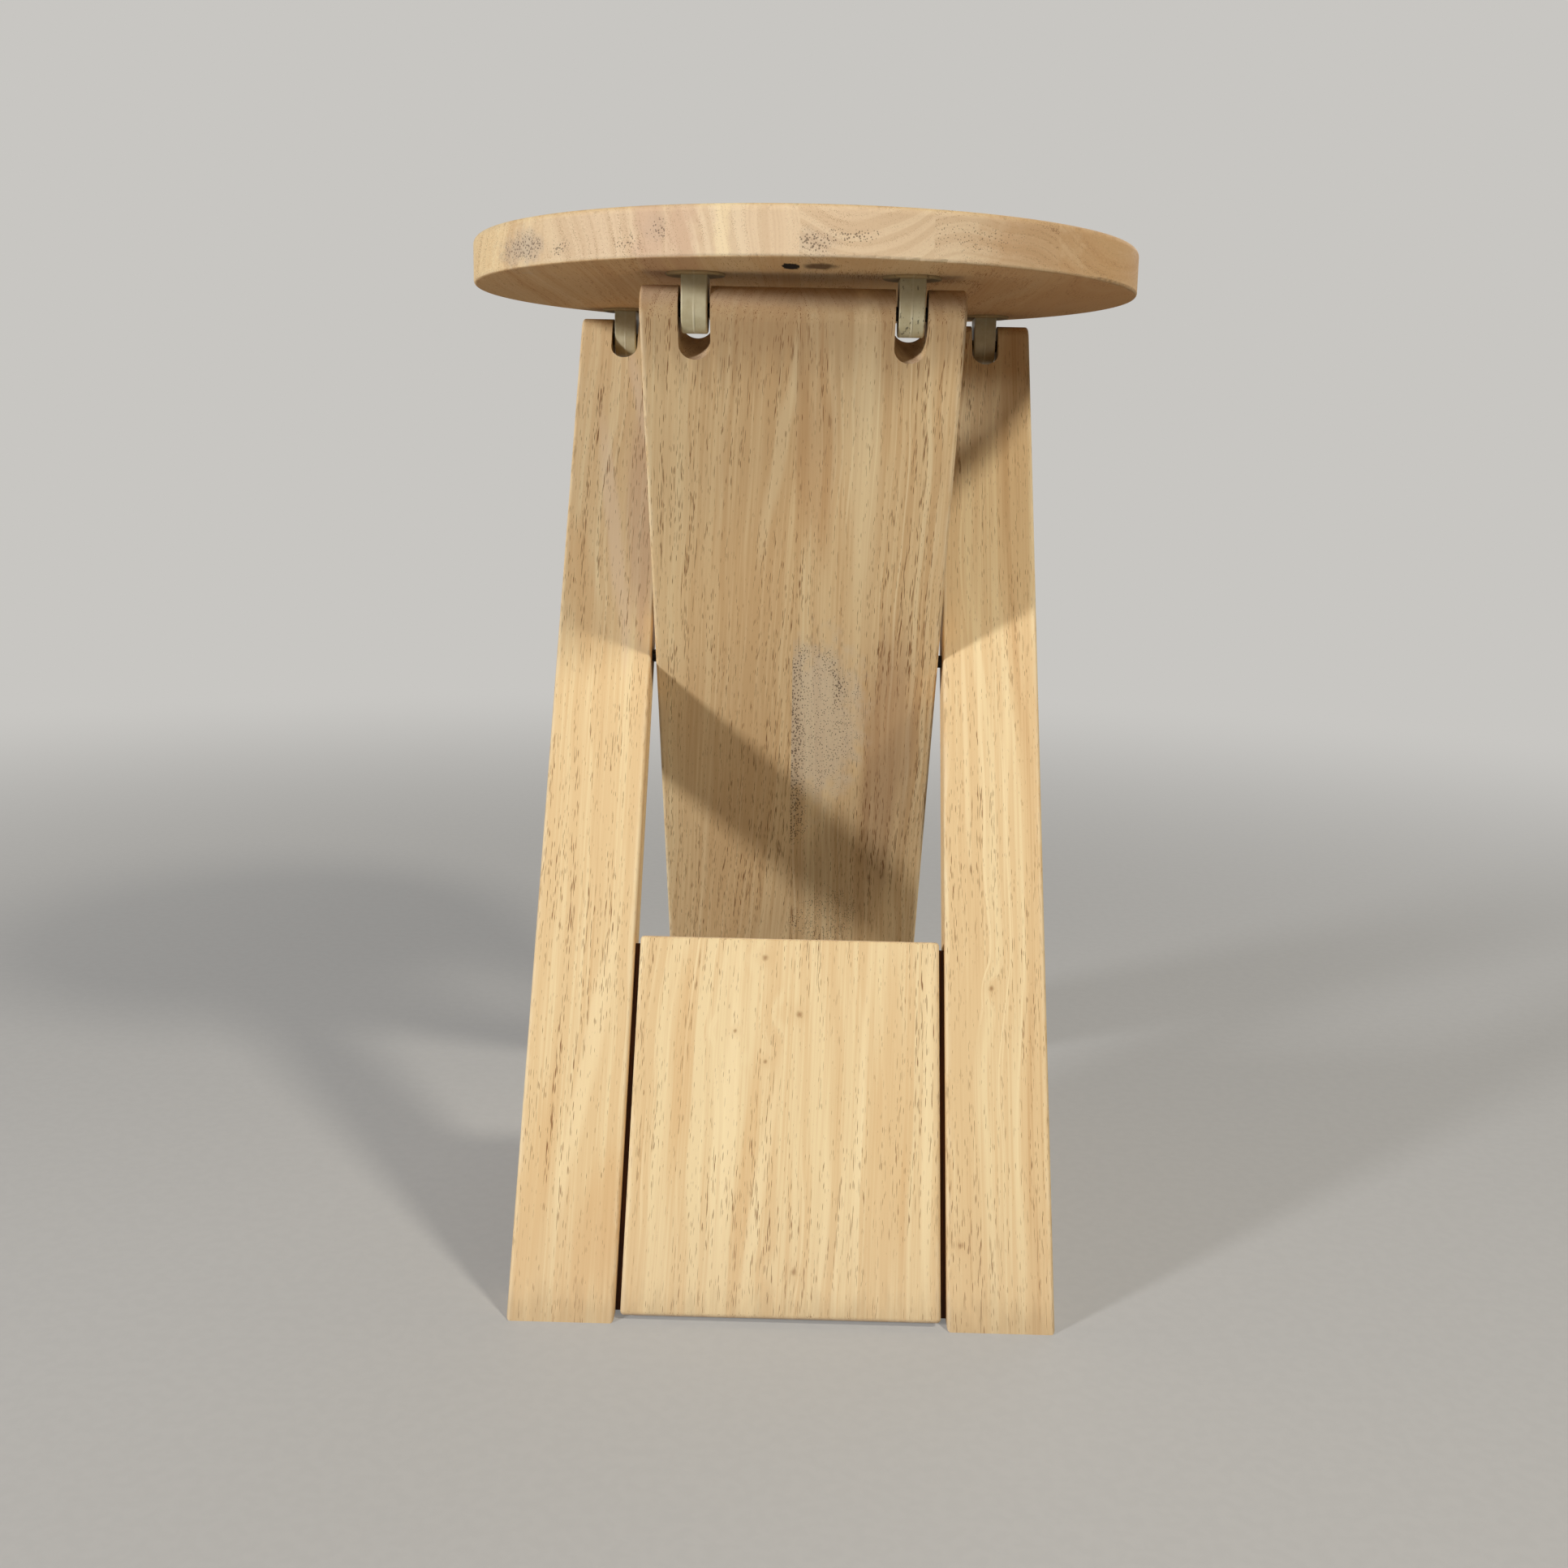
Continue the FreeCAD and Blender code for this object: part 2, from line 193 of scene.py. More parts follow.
class Graph:
    """A node tree under construction, with one short call per kind of node."""

    def __init__(self, owner):
        owner.use_nodes = True
        self.owner = owner
        self.tree = owner.node_tree
        self.tree.nodes.clear()

    def feed(self, socket, value):
        if isinstance(value, bpy.types.NodeSocket):
            self.tree.links.new(value, socket)
        else:
            socket.default_value = value

    def add(self, kind, inputs=None, **settings):
        node = self.tree.nodes.new(kind)
        for key, value in settings.items():
            setattr(node, key, value)
        for key, value in (inputs or {}).items():
            self.feed(node.inputs[key], value)
        return node

    def math(self, operation, *values):
        return self.add("ShaderNodeMath", dict(enumerate(values)), operation=operation).outputs[0]

    def total(self, *values):
        result = values[0]
        for value in values[1:]:
            result = self.math("ADD", result, value)
        return result

    def vector(self, operation, *values):
        return self.add("ShaderNodeVectorMath", dict(enumerate(values)), operation=operation)

    def split(self, vector):
        return self.add("ShaderNodeSeparateXYZ", {0: vector}).outputs

    def join(self, x, y, z):
        return self.add("ShaderNodeCombineXYZ", {0: x, 1: y, 2: z}).outputs[0]

    def length(self, x, y):
        return self.vector("LENGTH", self.join(x, y, 0.0)).outputs["Value"]

    def ramp(self, value, start, end, low=0.0, high=1.0):
        """Smooth step from low to high as value goes from start to end."""
        inputs = {"Value": value, "From Min": start, "From Max": end, "To Min": low, "To Max": high}
        return self.add("ShaderNodeMapRange", inputs, interpolation_type="SMOOTHSTEP").outputs[0]

    def mix(self, factor, first, second):
        """Blend of two colours, by the mix node's colour sockets."""
        node = self.add("ShaderNodeMix", data_type="RGBA")
        self.feed(node.inputs[0], factor)
        self.feed(node.inputs[6], first)
        self.feed(node.inputs[7], second)
        return node.outputs[2]

    def tint(self, colour, mask, tint):
        """Colour drawn towards a tint's colour, by a mask times the tint's strength."""
        target, strength = tint
        return self.mix(self.math("MULTIPLY", mask, strength), colour, linear(target))

    def noise(self, vector, detail=2.0, roughness=0.5):
        inputs = {"Vector": vector, "Scale": 1.0, "Detail": detail, "Roughness": roughness}
        return self.add("ShaderNodeTexNoise", inputs).outputs[0]

    def line_noise(self, value, pitch, detail=2.0, roughness=0.5):
        """Noise along one number."""
        inputs = {"W": value, "Scale": 1 / pitch, "Detail": detail, "Roughness": roughness}
        return self.add("ShaderNodeTexNoise", inputs, noise_dimensions="1D").outputs[0]

    def cells(self, vector):
        """Distance to the nearest of a scatter of points, about one to a unit cube."""
        inputs = {"Vector": vector, "Scale": 1.0}
        return self.add("ShaderNodeTexVoronoi", inputs).outputs["Distance"]

    def stretched(self, vector, cycles):
        """Place counted in cycles (across, along the grain)."""
        across, along = cycles
        return self.vector("MULTIPLY", vector, (across, across, along)).outputs[0]

    def object_place(self):
        """Place in the stool's frame at rest, in mm."""
        place = self.add("ShaderNodeTexCoord").outputs["Object"]
        inputs = {"Vector": place, "Scale": 1 / MM}
        return self.add("ShaderNodeVectorMath", inputs, operation="SCALE").outputs[0]

    def leaning(self, place, lean):
        """Place slid across the board along its length, so that the grain leans."""
        x, y, z = self.split(place)
        return self.join(self.math("MULTIPLY_ADD", z, -lean, x), y, z)

    def board_place(self, origin, turn):
        """Place in a board, in mm: x across it, y through it to the back, z along its grain."""
        place = self.add("ShaderNodeTexCoord").outputs["Object"]
        shift = Matrix.Rotation(-turn, 3, "X") @ (Vector(origin) * -1 / MM)
        inputs = {
            "Vector": place,
            "Location": shift,
            "Rotation": (-turn, 0.0, 0.0),
            "Scale": (1 / MM, 1 / MM, 1 / MM),
        }
        return self.add("ShaderNodeMapping", inputs).outputs[0]

    def facing(self, axis):
        """How squarely the surface faces along an axis of the stool's frame, 0 to 1."""
        normal = self.add("ShaderNodeTexCoord").outputs["Normal"]
        return self.math("ABSOLUTE", self.vector("DOT_PRODUCT", normal, axis).outputs["Value"])

    def bump(self, height, strength, depth_mm):
        inputs = {"Strength": strength, "Distance": depth_mm * MM, "Height": height}
        return self.add("ShaderNodeBump", inputs).outputs[0]

    def finish(self, colour, roughness, bump, specular=0.22, metallic=0.0):
        inputs = {
            "Base Color": colour,
            "Roughness": roughness,
            "Normal": bump,
            "Specular IOR Level": specular,
            "Metallic": metallic,
        }
        shader = self.add("ShaderNodeBsdfPrincipled", inputs)
        self.add("ShaderNodeOutputMaterial", {"Surface": shader.outputs[0]})
        return self.owner


def new_graph(name):
    return Graph(bpy.data.materials.new(name))


class Board:
    """Where a board lies: an origin on its grain axis, its turn about X, and its limits in mm."""

    def __init__(self, node_names, origin, turn, radius=None):
        self.origin = origin
        self.turn = turn
        self.radius = radius
        spin = Matrix.Rotation(-turn, 3, "X")
        corners = [
            spin @ (vertex.co - Vector(origin)) / MM
            for name in node_names
            for vertex in nodes[name].data.vertices
        ]
        self.low = min(corner.x for corner in corners)
        self.high = max(corner.x for corner in corners)
        self.half_thickness = max(corner.y for corner in corners)
        self.grain_axis = tuple(Matrix.Rotation(turn, 3, "X") @ Vector((0, 0, 1)))

    def corner_distance(self, graph, place):
        """Nought along the board's sharp long corners, growing over its faces and sides."""
        x, y, z = graph.split(place)
        if self.radius:
            side = graph.math("SUBTRACT", self.radius, graph.length(x, z))
        else:
            off_middle = graph.math("SUBTRACT", x, (self.low + self.high) / 2)
            reach = (self.high - self.low) / 2
            side = graph.math("SUBTRACT", reach, graph.math("ABSOLUTE", off_middle))
        face = graph.math("SUBTRACT", self.half_thickness, graph.math("ABSOLUTE", y))
        return graph.math("ADD", side, face)


# A leg hangs straight down a quarter turn short of its folded limit
frame_hinge = joints["frame_fold"]["pos_m"]
frame_turn = math.radians(90.0 - joints["frame_fold"]["range_deg"][1])
tongue_hinge = joints["tongue_fold"]["pos_m"]
tongue_turn = math.radians(90.0 - joints["tongue_fold"]["range_deg"][1])

# The seat's grain runs front to back, so its boards are turned to lie level
seat_nodes = sorted(name for name in nodes if name.startswith("seat_stave_"))
seat_low, seat_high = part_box(seat_nodes[0])
seat_middle = (0.0, 0.0, (seat_low[2] + seat_high[2]) / 2)
seat_board = Board(seat_nodes, seat_middle, math.radians(-90.0), -seat_low[0] / MM)


def underside(graph, place):
    """1 on the seat's underside, 0 elsewhere."""
    depth = graph.split(place)[1]
    reach = seat_board.half_thickness
    return graph.ramp(depth, reach - 0.6, reach - 0.2)


def spot_distance(graph, place, spot, reach):
    """Distance from a spot (across, along), each way divided by a reach."""
    x, _, z = graph.split(place)
    off_x = graph.math("DIVIDE", graph.math("SUBTRACT", x, spot[0]), reach[0])
    off_z = graph.math("DIVIDE", graph.math("SUBTRACT", z, spot[1]), reach[1])
    return graph.length(off_x, off_z)


def ring_radius(graph, place, seed, pith, knots):
    """Distance from the tree's pith, bent by slow noise and pushed aside round each knot."""
    moved = graph.vector("ADD", place, seed).outputs[0]
    wander = graph.add(
        "ShaderNodeTexNoise",
        {"Vector": graph.stretched(moved, WANDER_CYCLES), "Scale": 1.0, "Detail": 2.0},
    ).outputs["Color"]
    centred = graph.vector("SUBTRACT", wander, (0.5, 0.5, 0.5)).outputs[0]
    bend = (RING_WANDER, RING_WANDER, 0.0)
    bent = graph.vector("MULTIPLY_ADD", centred, bend, place).outputs[0]
    x, y, _ = graph.split(bent)
    radius = graph.length(graph.math("SUBTRACT", x, pith[0]), graph.math("SUBTRACT", y, pith[1]))
    for spot, size in knots:
        reach = (KNOT_BEND_REACH[0] * size, KNOT_BEND_REACH[1] * size)
        away = spot_distance(graph, place, spot, reach)
        radius = graph.math("ADD", radius, graph.ramp(away, 0.0, 1.0, KNOT_BEND * size, 0.0))
    return graph.math("ADD", radius, seed[0])


def pore_marks(graph, place, radius, seed, density):
    """Open pores: thin tubes along the grain, strung in rows that follow the rings."""
    moved = graph.vector("ADD", place, seed).outputs[0]
    crowd = graph.noise(graph.stretched(moved, PORE_CROWD_CYCLES))
    rows = graph.line_noise(radius, PORE_ROW_PITCH, 2.0)
    thick = graph.math("MULTIPLY", graph.ramp(crowd, 0.30, 0.70, 0.15, 0.33), density)
    reach = graph.math("MULTIPLY", thick, graph.ramp(rows, 0.38, 0.62, 0.45, 1.20))
    sway = graph.noise(graph.stretched(moved, PORE_SWAY_CYCLES), 1.0)
    aside = graph.join(graph.math("MULTIPLY", sway, PORE_SWAY), 0.0, 0.0)
    swayed = graph.vector("ADD", moved, aside).outputs[0]
    core = graph.math("MULTIPLY", reach, 0.55)
    marks = []
    for cycles in (SHORT_PORE_CYCLES, LONG_PORE_CYCLES):
        cells = graph.cells(graph.stretched(swayed, cycles))
        marks.append(graph.ramp(cells, core, reach, 1.0, 0.0))
    return graph.math("MAXIMUM", *marks)


def pale_lines(graph, place, radius, seed):
    """Thin cream lines along the rings, which fade in and out along the grain."""
    shifted = graph.math("ADD", radius, PALE_LINE_SHIFT)
    lines = graph.line_noise(shifted, PALE_LINE_PITCH, 2.0, 0.6)
    moved = graph.vector("ADD", place, seed).outputs[0]
    fade = graph.noise(graph.stretched(moved, PALE_FADE_CYCLES))
    return graph.math("MULTIPLY", graph.ramp(lines, 0.56, 0.64), graph.ramp(fade, 0.42, 0.62))


def add_knots(graph, colour, place, knots):
    for spot, size in knots:
        uneven = graph.noise(graph.stretched(place, KNOT_CYCLES))
        away = graph.math("ADD", spot_distance(graph, place, spot, (size, 1.2 * size)), uneven)
        colour = graph.tint(colour, graph.ramp(away, 0.8, 4.5, 1.0, 0.0), KNOT_HALO)
        colour = graph.tint(colour, graph.ramp(away, 0.5, 1.7, 1.0, 0.0), KNOT)
    return colour


def add_stains(graph, colour, place, stains, arc, edge_x):
    """Dark specks on the front, which crowd at the glue line at edge_x and along an arc.

    The first patch is greyed as well.
    """
    ragged = graph.noise(graph.stretched(place, STAIN_CYCLES), 3.0)
    patches = []
    for spot, reach in stains:
        away = graph.math("ADD", spot_distance(graph, place, spot, reach), ragged)
        patches.append(graph.ramp(away, 1.05, 1.65, 1.0, 0.0))
    mask = patches[0]
    for patch in patches[1:]:
        mask = graph.math("MAXIMUM", mask, patch)
    x, y, z = graph.split(place)
    front = graph.ramp(y, -6.0, 4.0, 1.0, 0.15)
    mask = graph.math("MULTIPLY", mask, front)
    colour = graph.tint(colour, graph.math("MULTIPLY", patches[0], front), STAIN_VEIL)
    arc_spot, arc_reach = arc
    off_arc = graph.math("SUBTRACT", spot_distance(graph, place, arc_spot, arc_reach), 1.0)
    arc_band = graph.ramp(graph.math("ABSOLUTE", off_arc), 0.05, 0.40, 1.0, 0.0)
    crowd = graph.math(
        "MAXIMUM",
        graph.ramp(graph.math("SUBTRACT", x, edge_x), 1.0, 9.0, 0.9, 0.0),
        graph.math("MULTIPLY", arc_band, graph.ramp(z, arc_spot[1] - 12.0, arc_spot[1] + 8.0)),
    )
    crowd = graph.math("MULTIPLY_ADD", ragged, 0.5, graph.math("MULTIPLY_ADD", crowd, 0.60, -0.10))
    size = graph.math("MULTIPLY", mask, graph.ramp(crowd, 0.05, 0.75, 0.32, 0.54))
    core = graph.math("MULTIPLY", size, 0.5)
    cells = graph.cells(graph.stretched(place, STAIN_DOT_CYCLES))
    colour = graph.tint(colour, graph.ramp(cells, core, size, 1.0, 0.0), STAIN_DOT)
    return graph.tint(colour, graph.math("MULTIPLY", mask, crowd), STAIN_HAZE)


def add_shades(graph, colour, place, shades):
    """Bands that are browner or paler than the wood about them, each with a lean of its own."""
    for spot, reach, lean, *tint in shades:
        uneven = graph.noise(graph.stretched(place, SHADE_CYCLES), 3.0)
        middle = (spot[0] - lean * spot[1], spot[1])
        away = spot_distance(graph, graph.leaning(place, lean), middle, reach)
        mask = graph.ramp(graph.math("ADD", away, uneven), 0.9, 1.6, 1.0, 0.0)
        colour = graph.tint(colour, mask, tint)
    return colour


def add_wear(graph, colour, place, board, height):
    """Corners worn pale with a painted highlight, with dirt in places, and dirt and painted shade
    towards the floor.
    """
    patchy = graph.noise(graph.stretched(place, WEAR_CYCLES), 4.0, 0.65)
    # Partly wear, partly painted highlight: the corners are painted paler where light catches them
    corner = graph.ramp(board.corner_distance(graph, place), 0.6, 3.2, 1.0, 0.0)
    rubbed_and_highlit = graph.math("MULTIPLY", corner, graph.ramp(patchy, 0.38, 0.58))
    colour = graph.tint(colour, rubbed_and_highlit, RUBBED_SEAT_AND_HIGHLIGHT if board.radius else RUBBED_LEG_AND_HIGHLIGHT)
    dirty = graph.math("MULTIPLY", corner, graph.ramp(patchy, 0.40, 0.30))
    colour = graph.tint(colour, dirty, CORNER_DIRT)
    level = graph.math("MULTIPLY_ADD", patchy, -26.0, height)
    # Dirt and painted shade: greyer and darker over the lowest few centimetres
    colour = graph.tint(colour, graph.ramp(level, -12.0, 52.0, 1.0, 0.0), FOOT_DIRT_AND_SHADE)
    return graph.tint(colour, graph.ramp(level, -14.0, 4.0, 1.0, 0.0), FOOT_DIRT)


def wood(
    name,
    board,
    seed,
    pith,
    tone=0.0,
    pores=1.0,
    lines=0.2,
    lean=0.0,
    knots=(),
    shades=(),
    extra=None,
):
    """Pale open-pored hardwood with its grain along the board."""
    graph = new_graph(name)
    place = graph.board_place(board.origin, board.turn)
    grain = graph.leaning(place, lean)
    height = graph.split(graph.object_place())[2]
    radius = ring_radius(graph, grain, seed, pith, knots)
    broad = graph.line_noise(radius, BROAD_RING, 1.0)
    narrow = graph.line_noise(radius, NARROW_RING, 3.0, 0.55)
    fibre = graph.noise(graph.stretched(grain, FIBRE_CYCLES), 3.0, 0.6)
    level = graph.total(
        graph.math("MULTIPLY", broad, BROAD_SHARE),
        graph.math("MULTIPLY", narrow, NARROW_SHARE),
        graph.math("MULTIPLY_ADD", fibre, FIBRE_SHARE, tone - FIBRE_SHARE / 2),
    )
    lower_mix = graph.ramp(level, TAN_TONE, MIDDLE_TONE)
    lower = graph.mix(lower_mix, linear(TAN_BAND), linear(MIDDLE_BAND))
    colour = graph.mix(graph.ramp(level, MIDDLE_TONE, CREAM_TONE), lower, linear(CREAM_BAND))
    pale = pale_lines(graph, grain, radius, seed)
    colour = graph.tint(colour, pale, (STREAK_CREAM, lines))
    end = graph.ramp(graph.facing(board.grain_axis), 0.45, 0.95)
    colour = graph.tint(colour, end, END_GRAIN)
    arcs = graph.ramp(graph.line_noise(radius, END_ARC_PITCH, 2.0), 0.54, 0.42)
    colour = graph.tint(colour, graph.math("MULTIPLY", end, arcs), END_ARC)
    colour = add_shades(graph, colour, place, shades)
    colour = add_knots(graph, colour, place, knots)
    marks = pore_marks(graph, grain, radius, seed, pores)
    colour = graph.tint(colour, marks, PORE)
    colour = add_wear(graph, colour, place, board, height)
    if extra:
        colour = extra(graph, colour, place)
    sheen = graph.noise(graph.stretched(place, SHEEN_CYCLES), 3.0)
    matt = graph.math("MULTIPLY", end, END_GRAIN_MATT)
    if board.radius:
        matt = graph.math("MULTIPLY_ADD", underside(graph, place), UNDERSIDE_MATT, matt)
    roughness = graph.math("ADD", graph.ramp(sheen, 0.25, 0.75, *WOOD_ROUGHNESS), matt)
    fibre_height = graph.math("MULTIPLY", fibre, FIBRE_RELIEF)
    relief = graph.math("MULTIPLY_ADD", marks, -1.0, fibre_height)
    return graph.finish(colour, roughness, graph.bump(relief, 0.25, 0.20))


# Painted shade: the splines deep in the shadow gaps are painted dark brown
def spline_wood(board):
    graph = new_graph("spline_wood")
    place = graph.board_place(board.origin, board.turn)
    fibre = graph.noise(graph.stretched(place, SPLINE_CYCLES), 4.0, 0.6)
    colour = graph.mix(graph.ramp(fibre, 0.35, 0.65), linear(SPLINE_SHADE_DARK), linear(SPLINE_SHADE_BROWN))
    roughness = graph.ramp(fibre, 0.3, 0.7, *SPLINE_ROUGHNESS)
    return graph.finish(colour, roughness, graph.bump(fibre, 0.3, 0.2))


def nylon(name, middle_x, scuff_cutoff):
    """Moulded bracket: mottled, with a parting line down its middle, scuff marks, and painted shade
    towards the seat.
    """
    graph = new_graph(name)
    place = graph.board_place((middle_x, 0, 0), 0.0)
    cloud = graph.noise(graph.stretched(place, NYLON_CLOUD_CYCLES), 4.0, 0.6)
    colour = graph.mix(graph.ramp(cloud, 0.35, 0.65), linear(NYLON_SHADE), linear(NYLON_OLIVE))
    across, _, height = graph.split(place)
    root = seat_low[2] / MM

    def towards_seat(span, low=0.0, high=1.0):
        return graph.ramp(height, root - span[0], root - span[1], low, high)

    # Painted shade: darker towards the seat and darkest on the flange, where the seat shades them
    colour = graph.tint(colour, towards_seat(BRACKET_SHADE_SPAN), BRACKET_SEAT_SHADE)
    flange = towards_seat(FLANGE_SPAN)
    colour = graph.tint(colour, flange, FLANGE_SHADE)
    line = graph.ramp(graph.math("ABSOLUTE", across), 0.15, 0.60, 1.0, 0.0)
    parting = graph.math("MULTIPLY", line, towards_seat(PARTING_SPAN, 1.0, 0.15))
    colour = graph.tint(colour, parting, PARTING_LINE)
    scuffed = graph.vector("MULTIPLY", place, NYLON_SCUFF_CYCLES).outputs[0]
    scuff = graph.noise(scuffed, 5.0, 0.7)
    colour = graph.tint(colour, graph.ramp(scuff, scuff_cutoff, scuff_cutoff + 0.06), SCUFF)
    grain = graph.noise(graph.stretched(place, NYLON_GRAIN_CYCLES), 3.0)
    relief = graph.math("MULTIPLY_ADD", grain, 0.12, parting)
    gloss = graph.ramp(cloud, 0.3, 0.7, *NYLON_ROUGHNESS)
    roughness = graph.math("MULTIPLY_ADD", flange, FLANGE_MATT, gloss)
    return graph.finish(colour, roughness, graph.bump(relief, 0.5, 0.3), specular=0.35)


def pin_steel():
    graph = new_graph("pin_steel")
    worn = graph.vector("MULTIPLY", graph.object_place(), PIN_WEAR_CYCLES).outputs[0]
    wear = graph.noise(worn, 5.0, 0.7)
    colour = graph.mix(graph.ramp(wear, 0.56, 0.70), linear(PIN_STEEL), linear(PIN_WEAR))
    roughness = graph.ramp(wear, 0.3, 0.7, *PIN_ROUGHNESS)
    return graph.finish(colour, roughness, graph.bump(wear, 0.2, 0.1), specular=0.5, metallic=0.85)


def dress(node_name, material):
    for slot in nodes[node_name].material_slots:
        slot.material = material


def painted_pocket_shade(graph, colour, place):
    """Painted shade of a narrow pocket beside a glue line, near the front of the underside."""
    ragged = graph.noise(graph.stretched(place, POCKET_SHADE_CYCLES), 3.0, 0.6)
    away = graph.math("ADD", spot_distance(graph, place, *POCKET_SHADE_SPOT), ragged)
    mask = graph.math("MULTIPLY", graph.ramp(away, 1.25, 1.45, 1.0, 0.0), underside(graph, place))
    return graph.tint(colour, mask, POCKET_SHADE)


def painted_recess_shade(graph, colour, place):
    """Painted shade of a shallow recess across the glue line from the pocket."""
    ragged = graph.noise(graph.stretched(place, RECESS_SHADE_CYCLES), 2.0)
    away = graph.math("ADD", spot_distance(graph, place, *RECESS_SHADE_SPOT), ragged)
    mask = graph.math("MULTIPLY", graph.ramp(away, 1.00, 1.60, 1.0, 0.0), underside(graph, place))
    return graph.tint(colour, mask, RECESS_SHADE)


def rim_flecks(graph, colour, place, spot, reach, grey, speck):
    """Greyed cluster of dark specks in the front rim, about a spot (across, through)."""
    x, y, z = graph.split(place)
    off_x = graph.math("DIVIDE", graph.math("SUBTRACT", x, spot[0]), reach[0])
    off_y = graph.math("DIVIDE", graph.math("SUBTRACT", y, spot[1]), reach[1])
    edge = graph.noise(graph.stretched(place, FLECK_CYCLES), 2.0)
    away = graph.math("ADD", graph.length(off_x, off_y), edge)
    front = graph.ramp(z, *RIM_FRONT)
    mask = graph.math("MULTIPLY", graph.ramp(away, 0.7, 1.6, 1.0, 0.0), front)
    colour = graph.tint(colour, mask, (FLECK_GREY, grey))
    size = graph.math("MULTIPLY", mask, speck)
    core = graph.math("MULTIPLY", size, 0.5)
    cells = graph.cells(graph.stretched(place, FLECK_DOT_CYCLES))
    return graph.tint(colour, graph.ramp(cells, core, size, 1.0, 0.0), FLECK_DOT)


def stave_finish(flecks, mark):
    """A stave's underside painted browner as shade, the flecks in its rim, and a mark if it has
    one.
    """

    def finish(graph, colour, place):
        # Painted shade: the underside is painted browner where it faces the floor
        colour = graph.tint(colour, underside(graph, place), UNDERSIDE_SHADE)
        for spot, reach, grey, speck in flecks:
            colour = rim_flecks(graph, colour, place, spot, reach, grey, speck)
        return mark(graph, colour, place) if mark else colour

    return finish


# Shades are a middle (across, along), a reach each way, a lean, a colour and a strength
pink_edge = (((-60.0, 0.0), (8.0, 500.0), 0.0, STREAK_PINK, 0.55),)
pink_and_cream = (
    ((-47.0, 0.0), (8.0, 500.0), 0.0, STREAK_PINK, 0.50),
    ((-31.0, 0.0), (4.0, 500.0), 0.0, STREAK_CREAM, 0.45),
)
# Painted shade: the two right staves are painted browner, top and rim, where the rim's right end
# turns from the light
right_painted_shade = (((98.0, 0.0), (36.0, 500.0), 0.0, BROWN_STREAK_AND_SHADE, 0.45),)
end_painted_shade = (((140.0, 0.0), (60.0, 500.0), 0.0, BROWN_STREAK_AND_SHADE, 0.55),)

# Flecks are a middle (across, through), a reach each way, the wood's greyness and the specks' size
grey_cluster = (((-116.0, 2.0), (15.0, 9.0), 0.55, 0.54),)
left_clusters = (
    ((-98.5, 4.0), (7.0, 4.5), 0.10, 0.48),
    ((-69.0, 4.0), (10.0, 5.5), 0.0, 0.40),
    ((-55.0, -1.0), (10.0, 7.0), 0.20, 0.42),
)
middle_clusters = (
    ((4.0, 4.5), (11.0, 7.0), 0.30, 0.54),
    ((18.0, 1.5), (18.0, 4.5), 0.05, 0.46),
)
right_cluster = (((68.0, 0.5), (30.0, 9.0), 0.0, 0.33),)

# Per stave: the tree's pith in mm, tone, amount of pores, shades, flecks and a mark of its own
stave_looks = (
    ((-215, -20), 0.02, 0.8, (), grey_cluster, None),
    ((-190, 40), -0.02, 0.9, pink_edge, left_clusters, None),
    ((-150, 25), 0.06, 0.8, pink_and_cream, (), painted_pocket_shade),
    ((20, -46), 0.00, 0.9, (), middle_clusters, painted_recess_shade),
    ((66, 70), -0.01, 1.1, right_painted_shade, right_cluster, None),
    ((130, -34), -0.03, 0.8, end_painted_shade, (), None),
)
first_seed = (17.0, 40.0, 0.0)
seed_step = (61.0, -23.0, 150.0)
for index, (pith, tone, pores, shades, flecks, mark) in enumerate(stave_looks):
    stave_wood = wood(
        f"seat_wood_{index + 1}",
        seat_board,
        tuple(start + step * index for start, step in zip(first_seed, seed_step)),
        pith,
        tone,
        pores,
        shades=shades,
        extra=stave_finish(flecks, mark),
    )
    dress(seat_nodes[index], stave_wood)

# Frame: knots are (across, along from the hinge) with their size, in mm
panel_knots = (
    ((-10.9, -332.2), 1.6),
    ((5.2, -357.8), 1.7),
    ((-9.5, -379.4), 1.1),
    ((-23.3, -365.9), 1.0),
    ((5.3, -469.2), 1.7),
)
panel_shades = (
    ((-25.0, -405.0), (4.2, 100.0), 0.03, STREAK_CREAM, 0.75),
    ((-16.5, -426.0), (4.6, 78.0), 0.075, STREAK_TAN, 0.52),
    ((-9.5, -428.0), (3.2, 68.0), 0.135, STREAK_CREAM, 0.55),
    ((46.0, -412.0), (10.5, 105.0), 0.03, STREAK_TAN, 0.48),
    ((62.5, -400.0), (3.6, 95.0), 0.02, STREAK_CREAM, 0.65),
    ((-47.0, -375.0), (6.0, 62.0), 0.0, STREAK_TAN, 0.42),
    ((33.0, -400.0), (2.2, 90.0), 0.05, STREAK_CREAM, 0.60),
)
right_stile_knots = (((91.5, -343.9), 1.4), ((76.3, -456.4), 1.3))
left_stile_shades = (
    ((-79.0, -110.0), (9.0, 85.0), -0.066, STREAK_PINK, 0.45),
    ((-105.0, -152.0), (9.0, 48.0), -0.2, STREAK_TAN, 0.50),
    ((-92.0, -118.0), (5.0, 84.0), -0.153, STREAK_PINK_PALE, 0.55),
    ((-84.0, -40.0), (4.5, 42.0), -0.216, STREAK_PINK_PALE, 0.55),
    ((-89.0, -385.0), (5.5, 85.0), 0.15, STREAK_CREAM, 0.60),
    ((-80.0, -455.0), (12.0, 48.0), 0.20, STREAK_TAN, 0.55),
    ((-108.0, -440.0), (7.0, 60.0), 0.10, STREAK_TAN, 0.40),
)
